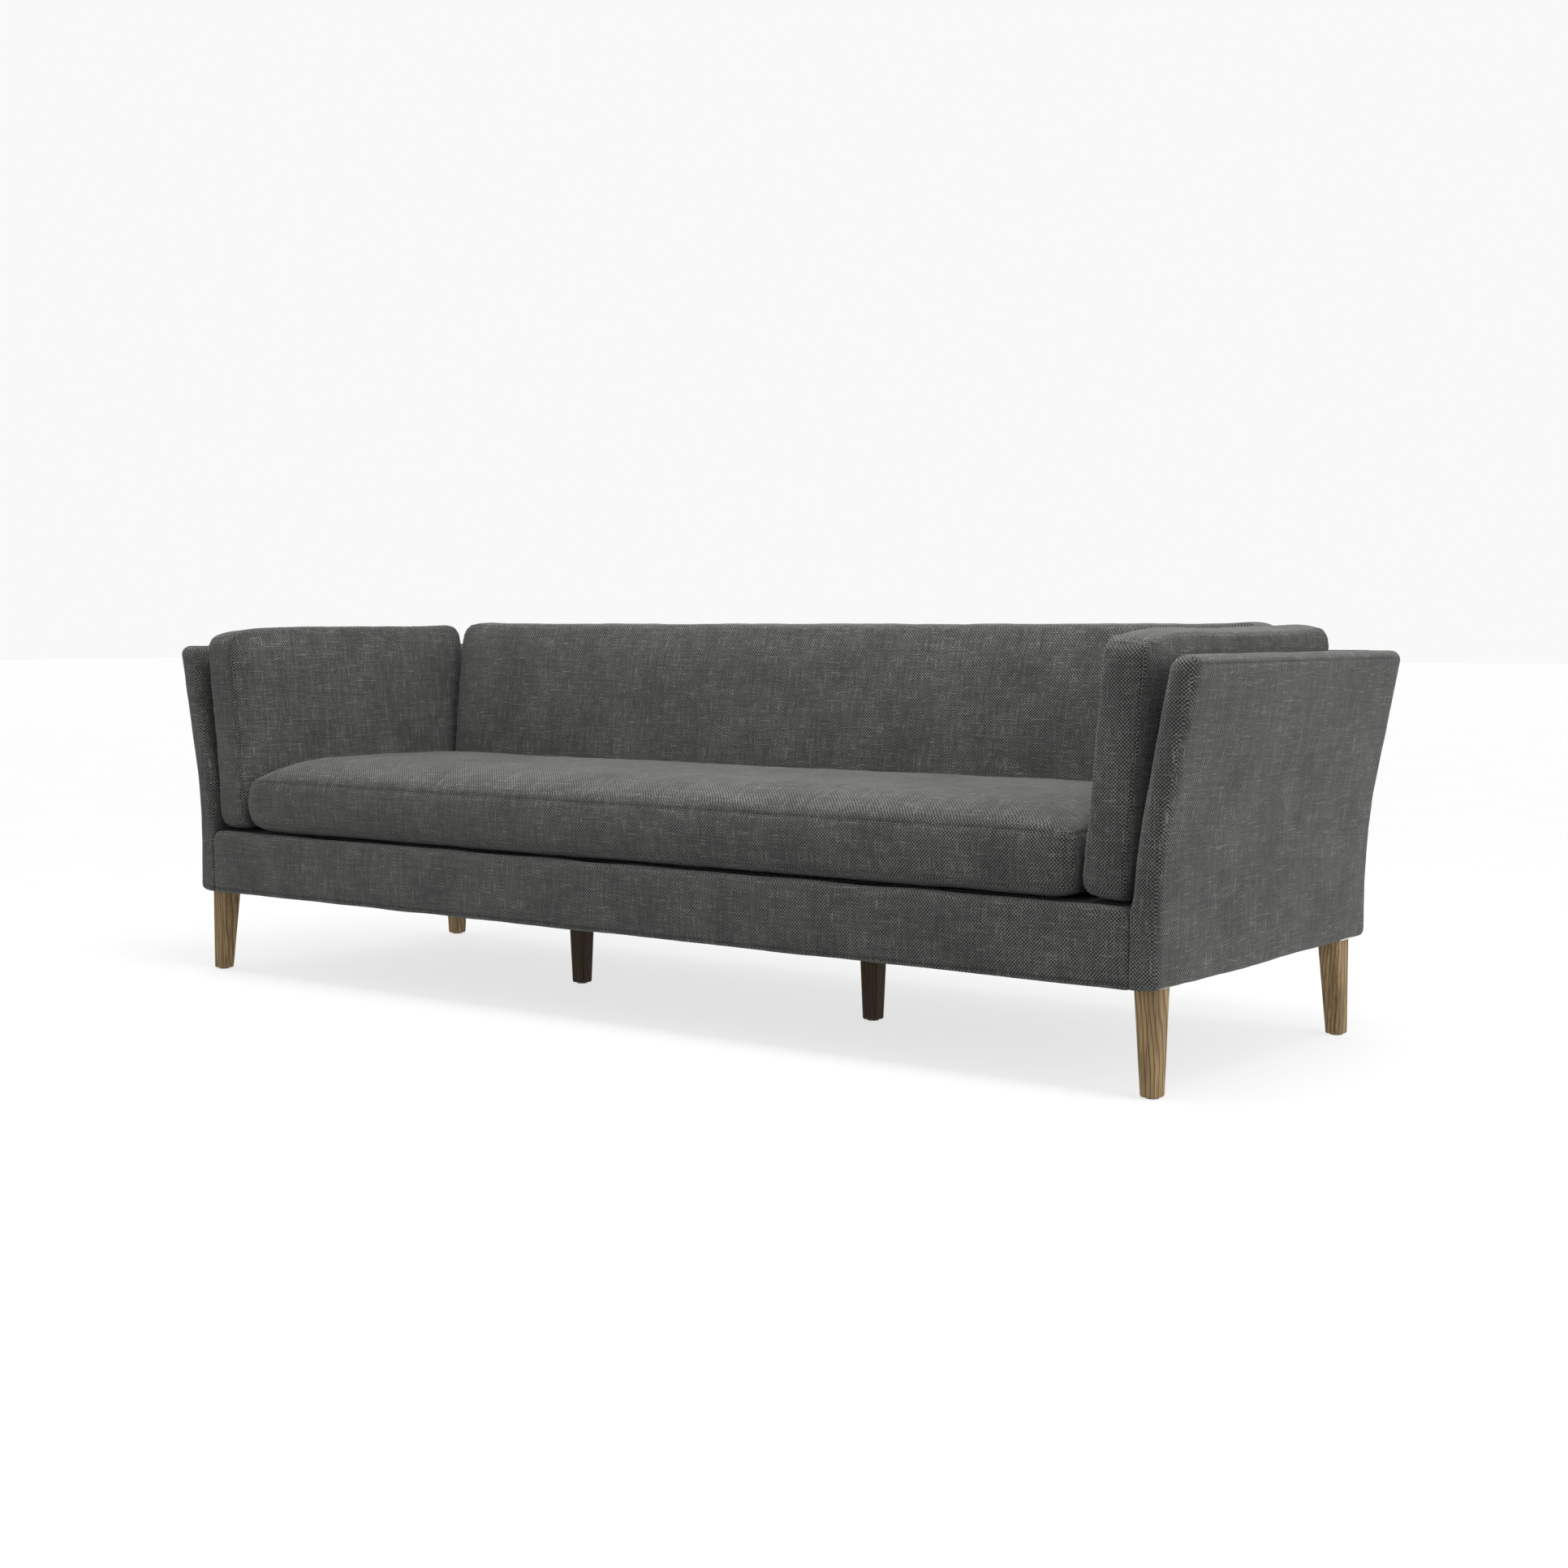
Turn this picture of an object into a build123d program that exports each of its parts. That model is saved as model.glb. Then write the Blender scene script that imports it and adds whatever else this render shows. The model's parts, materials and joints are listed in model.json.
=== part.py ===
from build123d import *

import math
import os

# A long sofa with a single seat cushion, one back cushion and two side cushions,
# flared padded arms and six tapered wooden legs.
# Units are millimetres. X runs along the sofa, the front faces -Y and Z is up.
# The origin is on the floor, under the centre of the overall box.
# One-sided parts are drawn for the right arm (+X) and mirrored for the left.

# ---- Driving dimensions -------------------------------------------------------

# Outside of the upholstered frame
FRONT_Y = -415.0
BACK_Y = 415.0
BASE_HALF_WIDTH = 1172.0
FRAME_BOTTOM = 176.0
FRAME_TOP = 710.0
PANEL_THICKNESS = 50.0
PANEL_EDGE_RADIUS = 18.0
PANEL_CORNER_RADIUS = 22.0

# The arms stand upright, bend outward and end in a straight slope
FLARE_START = 270.0
FLARE_RADIUS = 1035.0
FLARE_ANGLE = 11.1

# Wooden frame
WOOD = 24.0
CORE_DEPTH = 13.0
CORE_FRONT = -405.0
CORE_BACK = 404.0
WOOD_BOTTOM = 182.0
SEAT_RAIL_TOP = 286.0
TOP_RAIL_BOTTOM = 640.0
TOP_RAIL_TOP = 690.0
FRONT_POST_WIDTH = 60.0
REAR_POST_WIDTH = 80.0
STRETCHER_X = 375.4
STRETCHER_WIDTH = 50.0
STRETCHER_HEIGHT = 60.0
BLOCK_LEG = 80.0
BLOCK_HEIGHT = 80.0
UPRIGHT_X = 380.0
UPRIGHT_WIDTH = 60.0

# Upholstery on the frame
SKIN = 1.5
GAP = 0.3
RAIL_COVER_TOP = 307.0
RAIL_EDGE_RADIUS = 12.0
RAIL_RETURN = 20.0
DECK_FRONT = -379.0
DECK_BACK = 363.0
DECK_HALF_WIDTH = 1120.0
INSULATOR_Z = 290.0
INSULATOR_THICKNESS = 3.0
DECK_PAD_THICKNESS = 12.8
DECK_CLOTH_THICKNESS = 1.5
DUST_COVER_Z = 180.3
DUST_COVER_THICKNESS = 1.5
DUST_COVER_HOLE = 62.0

# Elastic webbing of the seat and the back
SEAT_STRAP_WIDTH = 50.0
SEAT_CROSS_STRAP_COUNT = 18
SEAT_CROSS_STRAP_SPACING = 126.0
SEAT_LONG_STRAP_DEPTHS = (-190.0, 0.0, 190.0)
STRAP_THICKNESS = 1.5
STRAP_WIDTH = 60.0
UPRIGHT_STRAP_COUNT = 11
UPRIGHT_STRAP_SPACING = 190.0
LEVEL_STRAP_HEIGHTS = (400.0, 540.0)

# Legs
LEG_TOP = 179.0
LEG_TOP_SIZE = 46.0
CENTRE_LEG_TOP_SIZE = 44.0
LEG_FOOT_SIZE = 33.0
LEG_CORNER_RADIUS = 8.0
LEG_FOOT_FILLET = 4.0
LEG_OUTER_X = 1162.3
FRONT_LEG_FACE_Y = -389.5
REAR_LEG_FACE_Y = 359.5
CENTRE_LEG_Y = -50.4
GLIDE_THICKNESS = 2.0
GLIDE_RADIUS = 11.0
PLATE_SIZE = 54.0
PLATE_THICKNESS = 3.0
BOLT_DIAMETER = 8.0
BOLT_IN_LEG = 35.0
BOLT_ABOVE_PLATE = 22.0
BOLT_HOLE_DIAMETER = 10.0
BOLT_INSET = 19.3
SCREW_OFFSET = 17.0
SCREW_DIAMETER = 4.0
SCREW_LENGTH = 20.0
FRAME_SCREW_DIAMETER = 5.0
FRAME_SCREW_LENGTH = 70.0
FRAME_SCREW_HEAD = 9.0

# Loose cushions
CUSHION_FLOOR = 309.0
CUSHION_SKIN = 1.2
CUSHION_LEAN = 5.3
CROWN_PARTS = (0.0, 0.12, 0.4, 1.0)
CROWN_CORNER = 0.25
SEAT_HALF_WIDTH = 1016.5
SEAT_BACK = 182.0
SEAT_SEAM_TOP = 416.0
SEAT_CROWN_TOP = 466.0
SEAT_CROWN_RUN = 150.0
SEAT_LOW_SEAM = 322.0
SEAT_CORNER_RADIUS = 25.0
SIDE_THICKNESS = 95.0
SIDE_SEAM_THICKNESS = 72.0
SIDE_HEIGHT = 446.0
SIDE_BACK = 295.0
SIDE_CROWN_RUN = 80.0
SIDE_CORNER_RADIUS = 35.0
SIDE_INNER_X = 1019.0
BACK_HALF_WIDTH = 1012.0
BACK_END_LEAN = 2.9
BACK_FOOT_Y = 186.0
BACK_BELLY_Y = 202.0
BACK_BELLY_Z = 540.0
BACK_HEAD_Y = 246.0
BACK_REAR_Y = 361.0
BACK_TOP = 762.0
BACK_EDGE_RADIUS = 24.0
BACK_CORNER_CUT = 20.0
ZIP_WIDTH = 12.0
ZIP_THICKNESS = 1.0
ZIP_CHAIN_WIDTH = 4.0
ZIP_CLEARANCE = 0.3
SEAT_ZIP_LENGTH = 1500.0
SIDE_ZIP_LENGTH = 320.0
BACK_ZIP_LENGTH = 1500.0

# ---- Derived dimensions -------------------------------------------------------

WOOD_TOP_REACH = 2.0
CORE_INNER_DEPTH = CORE_DEPTH + WOOD
POST_INNER_X = BASE_HALF_WIDTH - CORE_INNER_DEPTH
FRONT_RAIL_BACK = CORE_FRONT + WOOD
REAR_RAIL_FRONT = CORE_BACK - WOOD
ARM_INNER_X = BASE_HALF_WIDTH - PANEL_THICKNESS
BACK_PANEL_FRONT = BACK_Y - PANEL_THICKNESS
WEBBING_TOP = SEAT_RAIL_TOP + 2 * (STRAP_THICKNESS + GAP)
DECK_TOP = INSULATOR_Z + INSULATOR_THICKNESS + DECK_PAD_THICKNESS + DECK_CLOTH_THICKNESS
LEG_BOTTOM = GLIDE_THICKNESS
PLATE_BOTTOM = LEG_TOP
LEAN = math.radians(CUSHION_LEAN)
FAR = 3000.0


# ---- Shared shapes ------------------------------------------------------------


def flare_x(depth, z):
    """X of the surface that lies `depth` inside the right arm's outer face."""
    angle = math.radians(FLARE_ANGLE)
    radius = FLARE_RADIUS + depth
    centre_x = BASE_HALF_WIDTH + FLARE_RADIUS
    bend_end = FLARE_START + radius * math.sin(angle)
    if z <= FLARE_START:
        return centre_x - radius
    if z >= bend_end:
        return centre_x - radius * math.cos(angle) + (z - bend_end) * math.tan(angle)
    return centre_x - math.sqrt(radius**2 - (z - FLARE_START) ** 2)


def flare_edges(depth, z_low, z_high):
    """The line, arc and line of that surface's section between two heights."""
    bend_end = FLARE_START + (FLARE_RADIUS + depth) * math.sin(math.radians(FLARE_ANGLE))

    def at(z):
        return (flare_x(depth, z), z)

    edges = []
    if z_low < FLARE_START:
        edges.append(Line(at(z_low), at(min(z_high, FLARE_START))))
    bend_low = max(z_low, FLARE_START)
    bend_high = min(z_high, bend_end)
    if bend_high > bend_low:
        middle = (bend_low + bend_high) / 2
        edges.append(ThreePointArc(at(bend_low), at(middle), at(bend_high)))
    if z_high > bend_end:
        edges.append(Line(at(max(z_low, bend_end)), at(z_high)))
    return edges


def section(edges):
    """A face from the edges of its outline, whatever their order."""
    return make_face(Wire(edges))


def along_y(face, y_front, y_back):
    """Extrude a face drawn in X and Z between two depths."""
    placed = Plane.XZ.offset(-y_back) * face
    return extrude(placed, amount=y_back - y_front, dir=(0, -1, 0))


def along_x(face, half_width):
    """Extrude a face drawn in Y and Z both ways across the sofa's width."""
    placed = Plane.YZ.offset(-half_width) * face
    return extrude(placed, amount=2 * half_width, dir=(1, 0, 0))


def block(x_low, x_high, y_low, y_high, z_low, z_high):
    """A box given by its limits."""
    size = (x_high - x_low, y_high - y_low, z_high - z_low)
    centre = ((x_low + x_high) / 2, (y_low + y_high) / 2, (z_low + z_high) / 2)
    return Pos(*centre) * Box(*size)


def flared_slab(outer_depth, inner_depth, z_low, z_high, y_front, y_back):
    """A board that follows the right arm's flare between two depths."""
    outline = flare_edges(outer_depth, z_low, z_high)
    outline += flare_edges(inner_depth, z_low, z_high)
    outline.append(Line((flare_x(outer_depth, z_low), z_low), (flare_x(inner_depth, z_low), z_low)))
    outline.append(Line((flare_x(outer_depth, z_high), z_high), (flare_x(inner_depth, z_high), z_high)))
    return along_y(section(outline), y_front, y_back)


def between_arms(side_depth, z_low, z_high):
    """A face in X and Z that spans the sofa and follows the flare at both ends."""
    right = flare_edges(side_depth, z_low, z_high)
    outline = right + [edge.mirror(Plane.YZ) for edge in right]
    for z in (z_low, z_high):
        half = flare_x(side_depth, z)
        outline.append(Line((-half, z), (half, z)))
    return section(outline)


def to_left(shape):
    """The left-hand twin of a right-hand part."""
    return mirror(shape, about=Plane.YZ)


# ---- Upholstered arms ---------------------------------------------------------


def arm_body(inset, z_low):
    """The right arm's soft outside, or a copy of it moved in by `inset`."""
    top = FRAME_TOP - inset
    outer = inset
    inner = PANEL_THICKNESS - inset
    outline = flare_edges(outer, z_low, top) + flare_edges(inner, z_low, top)
    outline.append(Line((flare_x(outer, z_low), z_low), (flare_x(inner, z_low), z_low)))
    outline.append(Line((flare_x(outer, top), top), (flare_x(inner, top), top)))
    face = section(outline)
    face = fillet(face.vertices().sort_by(Axis.Y)[-2:], PANEL_CORNER_RADIUS - inset)
    body = along_y(face, FRONT_Y + inset, BACK_Y - inset)
    rims = ShapeList()
    for end in (body.faces().sort_by(Axis.Y)[0], body.faces().sort_by(Axis.Y)[-1]):
        rims += [edge for edge in end.edges() if edge.center().Z > z_low + 1]
    return fillet(rims, PANEL_EDGE_RADIUS - inset)


def frame_joint_gap():
    """Where the seat rails and the back frame pass through the arm's inner side."""
    low_top = WEBBING_TOP + GAP
    low = block(ARM_INNER_X - 5, POST_INNER_X, CORE_FRONT, CORE_BACK + 1, FRAME_BOTTOM - 5, low_top)
    tall = flared_slab(
        CORE_INNER_DEPTH,
        PANEL_THICKNESS + 5,
        FRAME_BOTTOM - 5,
        TOP_RAIL_TOP + WOOD_TOP_REACH,
        REAR_RAIL_FRONT - 5,
        CORE_BACK + 1,
    )
    return low + tall


def arm_cover():
    hollow = arm_body(SKIN, FRAME_BOTTOM - 1)
    return arm_body(0, FRAME_BOTTOM) - hollow - frame_joint_gap()


def arm_padding():
    core = flared_slab(
        CORE_DEPTH - GAP,
        CORE_INNER_DEPTH + GAP,
        WOOD_BOTTOM - 1,
        TOP_RAIL_TOP + WOOD_TOP_REACH,
        CORE_FRONT - GAP,
        CORE_BACK + GAP,
    )
    return arm_body(SKIN + GAP, WOOD_BOTTOM) - core - frame_joint_gap()


# ---- Upholstered back ---------------------------------------------------------


def back_body(inset, z_low, side_depth):
    """The padded back between the arms, with its upper long edges rounded."""
    top = FRAME_TOP - inset
    face = between_arms(side_depth, z_low, top)
    body = along_y(face, BACK_PANEL_FRONT + inset, BACK_Y - inset)
    long_edges = body.edges().filter_by(Axis.X).group_by(Axis.Z)[-1]
    return fillet(long_edges, PANEL_EDGE_RADIUS - inset)


def below_deck_gap():
    """The back's soft front stops at the seat deck, so the webbing reaches the rail."""
    return block(-FAR, FAR, BACK_PANEL_FRONT - 5, REAR_RAIL_FRONT, 0, DECK_TOP + 1)


def back_cover():
    hollow = back_body(SKIN, FRAME_BOTTOM - 1, PANEL_THICKNESS - 6)
    return back_body(0, FRAME_BOTTOM, PANEL_THICKNESS + GAP) - hollow - below_deck_gap()


def back_padding():
    webbing_front = REAR_RAIL_FRONT - 2 * (STRAP_THICKNESS + GAP)
    core = block(-FAR, FAR, webbing_front - GAP, CORE_BACK + GAP, 0, TOP_RAIL_TOP + GAP)
    soft = back_body(SKIN + GAP, WOOD_BOTTOM, PANEL_THICKNESS + GAP)
    return soft - core - below_deck_gap()


def back_top_rail():
    face = between_arms(CORE_INNER_DEPTH, TOP_RAIL_BOTTOM, TOP_RAIL_TOP)
    return along_y(face, REAR_RAIL_FRONT, CORE_BACK)


def back_upright():
    half = UPRIGHT_WIDTH / 2
    return block(
        UPRIGHT_X - half, UPRIGHT_X + half, REAR_RAIL_FRONT, CORE_BACK, SEAT_RAIL_TOP, TOP_RAIL_BOTTOM
    )


def back_webbing():
    """Upright straps on the rails' front faces, with level straps in front of them."""
    straps = []
    strap_back = REAR_RAIL_FRONT - GAP / 2
    strap_front = strap_back - STRAP_THICKNESS
    first = -(UPRIGHT_STRAP_COUNT - 1) / 2
    for index in range(UPRIGHT_STRAP_COUNT):
        x = (first + index) * UPRIGHT_STRAP_SPACING
        low, high = x - STRAP_WIDTH / 2, x + STRAP_WIDTH / 2
        straps.append(block(low, high, strap_front, strap_back, DECK_TOP + 5, TOP_RAIL_TOP - 10))
    level_back = strap_front - GAP / 2
    for z in LEVEL_STRAP_HEIGHTS:
        half = flare_x(PANEL_THICKNESS, z) - 10
        low, high = z - STRAP_WIDTH / 2, z + STRAP_WIDTH / 2
        straps.append(block(-half, half, level_back - STRAP_THICKNESS, level_back, low, high))
    return Compound(children=straps)


# ---- Front rail upholstery ----------------------------------------------------


def front_rail_body(inset, back_y, half_width, z_low):
    """The soft front rail, with its upper front edge rounded."""
    body = block(-half_width, half_width, FRONT_Y + inset, back_y, z_low, RAIL_COVER_TOP - inset)
    front_top = body.edges().filter_by(Axis.X).group_by(Axis.Z)[-1].sort_by(Axis.Y)[0]
    return fillet(front_top, RAIL_EDGE_RADIUS - inset)


def front_rail_cover():
    half = ARM_INNER_X - GAP
    outside = front_rail_body(0, DECK_FRONT - GAP, half, FRAME_BOTTOM)
    hollow = front_rail_body(SKIN, DECK_FRONT + 1, FAR, FRAME_BOTTOM + SKIN)
    open_bottom = block(-FAR, FAR, FRONT_Y + RAIL_RETURN, 0, 0, WOOD_BOTTOM)
    return outside - hollow - open_bottom


def front_rail_padding():
    half = ARM_INNER_X - 2 * GAP
    soft = front_rail_body(SKIN + GAP, FRONT_RAIL_BACK, half, WOOD_BOTTOM)
    wood = block(-FAR, FAR, CORE_FRONT - GAP, 0, 0, WEBBING_TOP + GAP)
    return soft - wood


# ---- Wooden frame -------------------------------------------------------------


def seat_rail(y_low, y_high):
    return block(-POST_INNER_X, POST_INNER_X, y_low, y_high, WOOD_BOTTOM, SEAT_RAIL_TOP)


def side_rail():
    y_low = CORE_FRONT + FRONT_POST_WIDTH
    y_high = CORE_BACK - REAR_POST_WIDTH
    return flared_slab(CORE_DEPTH, CORE_INNER_DEPTH, WOOD_BOTTOM, SEAT_RAIL_TOP, y_low, y_high)


def arm_top_rail():
    y_low = CORE_FRONT + FRONT_POST_WIDTH
    y_high = CORE_BACK - REAR_POST_WIDTH
    return flared_slab(CORE_DEPTH, CORE_INNER_DEPTH, TOP_RAIL_BOTTOM, TOP_RAIL_TOP, y_low, y_high)


def bolt_hole(x, y):
    """The clearance hole for a leg's bolt, drilled up from the frame's underside."""
    depth = BOLT_ABOVE_PLATE + 3
    return Pos(x, y, WOOD_BOTTOM + depth / 2) * Cylinder(BOLT_HOLE_DIAMETER / 2, depth)


def arm_post(y_low, y_high, bolt_y):
    """A post sawn to the arm's curve."""
    post = flared_slab(CORE_DEPTH, CORE_INNER_DEPTH, WOOD_BOTTOM, TOP_RAIL_TOP, y_low, y_high)
    return post - bolt_hole(LEG_OUTER_X - BOLT_INSET, bolt_y)


def stretcher():
    half = STRETCHER_WIDTH / 2
    top = WOOD_BOTTOM + STRETCHER_HEIGHT
    beam = block(
        STRETCHER_X - half, STRETCHER_X + half, FRONT_RAIL_BACK, REAR_RAIL_FRONT, WOOD_BOTTOM, top
    )
    return beam - bolt_hole(STRETCHER_X, CENTRE_LEG_Y)


def corner_block(rail_y, inward):
    """A triangular glue block in the corner of a seat rail and an arm post."""
    corner = (POST_INNER_X, rail_y)
    along_rail = (POST_INNER_X - BLOCK_LEG, rail_y)
    along_arm = (POST_INNER_X, rail_y + inward * BLOCK_LEG)
    face = make_face(Polyline(corner, along_rail, along_arm, close=True))
    placed = Pos(0, 0, WOOD_BOTTOM) * face
    return extrude(placed, amount=BLOCK_HEIGHT, dir=(0, 0, 1))


# ---- Seat webbing, deck and dust cover ----------------------------------------


def seat_webbing_long():
    """Straps along the sofa, resting on the side rails."""
    z = SEAT_RAIL_TOP + GAP / 2
    half = POST_INNER_X + WOOD / 2
    straps = []
    for y in SEAT_LONG_STRAP_DEPTHS:
        low, high = y - SEAT_STRAP_WIDTH / 2, y + SEAT_STRAP_WIDTH / 2
        straps.append(block(-half, half, low, high, z, z + STRAP_THICKNESS))
    return Compound(children=straps)


def seat_webbing_cross():
    """Straps from the front rail to the rear rail, over the long ones."""
    z = SEAT_RAIL_TOP + STRAP_THICKNESS + GAP
    front, back = CORE_FRONT + GAP, CORE_BACK - GAP
    first = -(SEAT_CROSS_STRAP_COUNT - 1) / 2
    straps = []
    for index in range(SEAT_CROSS_STRAP_COUNT):
        x = (first + index) * SEAT_CROSS_STRAP_SPACING
        low, high = x - SEAT_STRAP_WIDTH / 2, x + SEAT_STRAP_WIDTH / 2
        straps.append(block(low, high, front, back, z, z + STRAP_THICKNESS))
    return Compound(children=straps)


def deck_layer(z_low, thickness):
    return block(
        -DECK_HALF_WIDTH, DECK_HALF_WIDTH, DECK_FRONT, DECK_BACK, z_low + GAP / 2, z_low + thickness
    )


def dust_cover():
    """The cloth stapled under the frame, cut out around each leg's plate."""
    half_width = BASE_HALF_WIDTH - CORE_DEPTH - 1
    top = DUST_COVER_Z + DUST_COVER_THICKNESS
    cloth = block(-half_width, half_width, CORE_FRONT + 2, CORE_BACK - 2, DUST_COVER_Z, top)
    for x, y, _ in leg_tops():
        cloth -= Pos(x, y, top) * Box(DUST_COVER_HOLE, DUST_COVER_HOLE, 10)
    return cloth


# ---- Legs and their fittings --------------------------------------------------


def leg_tops():
    """Centre of each leg's top face, and the axis of its bolt."""
    half = LEG_TOP_SIZE / 2
    bolt_x = LEG_OUTER_X - BOLT_INSET
    tops = []
    for face_y, inward in ((FRONT_LEG_FACE_Y, 1), (REAR_LEG_FACE_Y, -1)):
        for side in (-1, 1):
            bolt = (side * bolt_x, face_y + inward * BOLT_INSET)
            tops.append((side * (LEG_OUTER_X - half), face_y + inward * half, bolt))
    for side in (-1, 1):
        tops.append((side * STRETCHER_X, CENTRE_LEG_Y, (side * STRETCHER_X, CENTRE_LEG_Y)))
    return tops


def tapered_leg(foot_centre, top_centre, top_size):
    """A square leg with rounded corners that tapers towards its foot."""
    foot = Pos(*foot_centre, LEG_BOTTOM) * RectangleRounded(LEG_FOOT_SIZE, LEG_FOOT_SIZE, LEG_CORNER_RADIUS)
    top = Pos(*top_centre, LEG_TOP) * RectangleRounded(top_size, top_size, LEG_CORNER_RADIUS)
    leg = loft([foot, top], ruled=True)
    rim = leg.faces().sort_by(Axis.Z)[0].edges()
    return fillet(rim, LEG_FOOT_FILLET)


def corner_leg(face_y, inward):
    """A right-hand corner leg, upright on its two outer faces."""
    foot_half, top_half = LEG_FOOT_SIZE / 2, LEG_TOP_SIZE / 2
    foot = (LEG_OUTER_X - foot_half, face_y + inward * foot_half)
    top = (LEG_OUTER_X - top_half, face_y + inward * top_half)
    return tapered_leg(foot, top, LEG_TOP_SIZE)


def centre_leg():
    centre = (STRETCHER_X, CENTRE_LEG_Y)
    return tapered_leg(centre, centre, CENTRE_LEG_TOP_SIZE)


def foot_centres():
    """Where each leg meets the floor."""
    half = LEG_FOOT_SIZE / 2
    centres = []
    for face_y, inward in ((FRONT_LEG_FACE_Y, 1), (REAR_LEG_FACE_Y, -1)):
        for side in (-1, 1):
            centres.append((side * (LEG_OUTER_X - half), face_y + inward * half))
    for side in (-1, 1):
        centres.append((side * STRETCHER_X, CENTRE_LEG_Y))
    return centres


def foot_glides():
    discs = []
    for x, y in foot_centres():
        disc = Pos(x, y, GLIDE_THICKNESS / 2) * Cylinder(GLIDE_RADIUS, GLIDE_THICKNESS)
        discs.append(disc)
    return Compound(children=discs)


def leg_plates():
    """Flat steel plates under the frame, each with a bolt hole and four screw holes."""
    plates = []
    middle = PLATE_BOTTOM + PLATE_THICKNESS / 2
    for x, y, bolt in leg_tops():
        plate = Pos(x, y, middle) * Box(PLATE_SIZE, PLATE_SIZE, PLATE_THICKNESS)
        plate -= Pos(*bolt, middle) * Cylinder(BOLT_DIAMETER / 2 + 0.1, PLATE_THICKNESS + 2)
        for dx, dy in screw_offsets():
            plate -= Pos(x + dx, y + dy, middle) * Cylinder(SCREW_DIAMETER / 2 + 0.1, PLATE_THICKNESS + 2)
        plates.append(plate)
    return Compound(children=plates)


def screw_offsets():
    return [(sx * SCREW_OFFSET, sy * SCREW_OFFSET) for sx in (-1, 1) for sy in (-1, 1)]


def plate_screws():
    screws = []
    z = PLATE_BOTTOM + SCREW_LENGTH / 2
    for x, y, _ in leg_tops():
        for dx, dy in screw_offsets():
            screws.append(Pos(x + dx, y + dy, z) * Cylinder(SCREW_DIAMETER / 2, SCREW_LENGTH))
    return Compound(children=screws)


def hanger_bolts():
    """Studs with a wood thread in the leg and a machine thread through the plate."""
    length = BOLT_IN_LEG + PLATE_THICKNESS + BOLT_ABOVE_PLATE
    z = LEG_TOP - BOLT_IN_LEG + length / 2
    studs = [Pos(*bolt, z) * Cylinder(BOLT_DIAMETER / 2, length) for _, _, bolt in leg_tops()]
    return Compound(children=studs)


def frame_screws():
    """Pairs of long screws through each post into the front and rear seat rails."""
    screws = []
    outer_x = BASE_HALF_WIDTH - CORE_DEPTH
    for side in (-1, 1):
        for rail_y in (CORE_FRONT + WOOD / 2, CORE_BACK - WOOD / 2):
            for z in (WOOD_BOTTOM + 50, SEAT_RAIL_TOP - 20):
                x = side * (outer_x - 1 - FRAME_SCREW_LENGTH / 2)
                shank = Cylinder(FRAME_SCREW_DIAMETER / 2, FRAME_SCREW_LENGTH)
                head = Pos(0, 0, side * (FRAME_SCREW_LENGTH / 2 - 1.5)) * Cylinder(FRAME_SCREW_HEAD / 2, 3)
                screws.append(Pos(x, rail_y, z) * Rot(0, 90, 0) * (shank + head))
    return Compound(children=screws)


# ---- Loose cushions -----------------------------------------------------------


def crown_level(part, run, rise):
    """How far in from the seam, and how far out of it, a crown stands at one part of its run."""
    return part * run, rise * math.sqrt(1 - (1 - part) ** 2)


def pillow(half_x, half_y, z_low, low_seam, high_seam, z_high, run, corner_radius):
    """A lying cushion, crowned on both faces, with rounded corners in plan."""
    levels = []
    for part in CROWN_PARTS:
        inward, drop = crown_level(part, run, low_seam - z_low)
        levels.append((inward, low_seam - drop))
    levels.reverse()
    for part in CROWN_PARTS:
        inward, rise = crown_level(part, run, z_high - high_seam)
        levels.append((inward, high_seam + rise))
    outlines = []
    for inward, z in levels:
        plan = RectangleRounded(2 * (half_x - inward), 2 * (half_y - inward), corner_radius + inward * CROWN_CORNER)
        outlines.append(Pos(0, 0, z) * plan)
    return loft(outlines, ruled=True)


def seat_body(inset):
    half_y = (SEAT_BACK - FRONT_Y) / 2
    body = pillow(
        SEAT_HALF_WIDTH - inset,
        half_y - inset,
        CUSHION_FLOOR + inset,
        SEAT_LOW_SEAM + inset,
        SEAT_SEAM_TOP - inset,
        SEAT_CROWN_TOP - inset,
        SEAT_CROWN_RUN,
        SEAT_CORNER_RADIUS - inset,
    )
    return Pos(0, (SEAT_BACK + FRONT_Y) / 2, 0) * body


def side_place(shape):
    """Stand a lying side cushion up against the right arm, leaning outward."""
    upright = Rot(0, -90, 0) * shape
    leaned = Rot(0, CUSHION_LEAN, 0) * upright
    middle_height = CUSHION_FLOOR + 4 + SIDE_HEIGHT / 2 * math.cos(LEAN)
    inner_x = SIDE_INNER_X + (middle_height - CUSHION_FLOOR) * math.tan(LEAN)
    x = inner_x + SIDE_THICKNESS / 2 / math.cos(LEAN)
    return Pos(x, (SIDE_BACK + FRONT_Y) / 2, middle_height) * leaned


def side_body(inset):
    seam = SIDE_SEAM_THICKNESS / 2 - inset
    face = SIDE_THICKNESS / 2 - inset
    body = pillow(
        SIDE_HEIGHT / 2 - inset,
        (SIDE_BACK - FRONT_Y) / 2 - inset,
        -face,
        -seam,
        seam,
        face,
        SIDE_CROWN_RUN,
        SIDE_CORNER_RADIUS - inset,
    )
    return side_place(body)


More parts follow.
